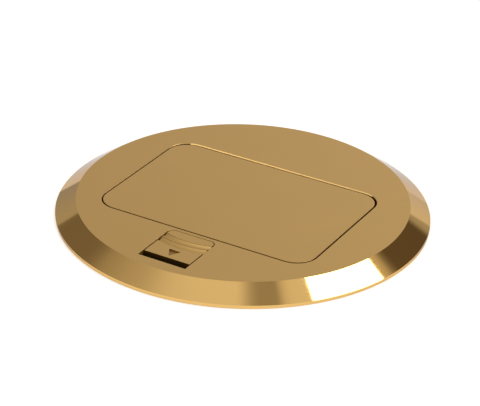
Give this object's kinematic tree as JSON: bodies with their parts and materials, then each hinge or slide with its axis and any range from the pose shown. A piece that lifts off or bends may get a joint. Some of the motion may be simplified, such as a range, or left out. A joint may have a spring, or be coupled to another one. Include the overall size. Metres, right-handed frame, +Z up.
{
  "type": "floor socket box",
  "caption": "Round brass floor socket box with a spring latch, a flush hinged lid that carries a tilting power socket, and a steel box below the floor.",
  "frame": {"origin": "centre of the mounting screw circle at floor level, under the middle of the round cover", "axes": "+X along the lid's hinge, -Y from the centre towards the latch, +Z up out of the floor"},
  "size_m": [0.178, 0.178, 0.0716],
  "materials": {
    "brass_cast": "satin machined",
    "brass_plate": "fine brushed",
    "brass_small": "bright",
    "gasket_rubber": "matt",
    "steel_bright": "bright",
    "steel_zinc": "zinc plated",
    "box_steel": "galvanised",
    "socket_plastic": "semi gloss",
    "ground_green": "dyed green"
  },
  "bodies": {
    "cover": {"cover_flange": "brass_cast", "cover_gasket": "gasket_rubber", "lid_seal": "gasket_rubber", "hinge_pin": "steel_bright", "hinge_clips": "steel_bright", "torsion_spring_left": "steel_bright", "torsion_spring_right": "steel_bright", "latch_guide": "steel_zinc", "latch_guide_screws": "brass_small", "latch_spring_left": "steel_bright", "latch_spring_right": "steel_bright", "back_box": "box_steel", "knockout_discs": "box_steel", "mounting_ring": "steel_zinc", "cover_brackets": "steel_zinc", "cover_screws": "brass_small", "ground_screw": "ground_green"},
    "tray": {"lid_plate": "brass_plate", "tilt_frame": "steel_zinc", "strike_plate": "steel_zinc", "strike_rivets": "steel_bright", "lid_screws": "brass_small", "device_plate": "brass_small", "receptacle_face": "socket_plastic", "receptacle_body": "socket_plastic", "receptacle_contacts": "brass_small", "receptacle_strap": "steel_zinc", "terminal_screws": "brass_small", "receptacle_ground_screw": "ground_green", "device_screws": "steel_bright", "device_plate_screw": "brass_small"},
    "latch": {"latch_slide": "brass_plate", "latch_bolt": "steel_bright", "latch_bolt_screws": "brass_small"}
  },
  "joints": [
    {"name": "lid_hinge", "type": "hinge", "parent": "cover", "child": "tray", "pos_m": [0, 0.0215, 0.0026], "axis": [-1, 0, 0], "range_deg": [0, 52], "deforming": ["torsion_spring_left", "torsion_spring_right"]},
    {"name": "latch_slide_joint", "type": "slide", "parent": "cover", "child": "latch", "axis": [0, -1, 0], "range_m": [0, 0.0042], "stiffness_N_per_m": 400, "springref_m": -0.002, "deforming": ["latch_spring_left", "latch_spring_right"]}
  ]
}
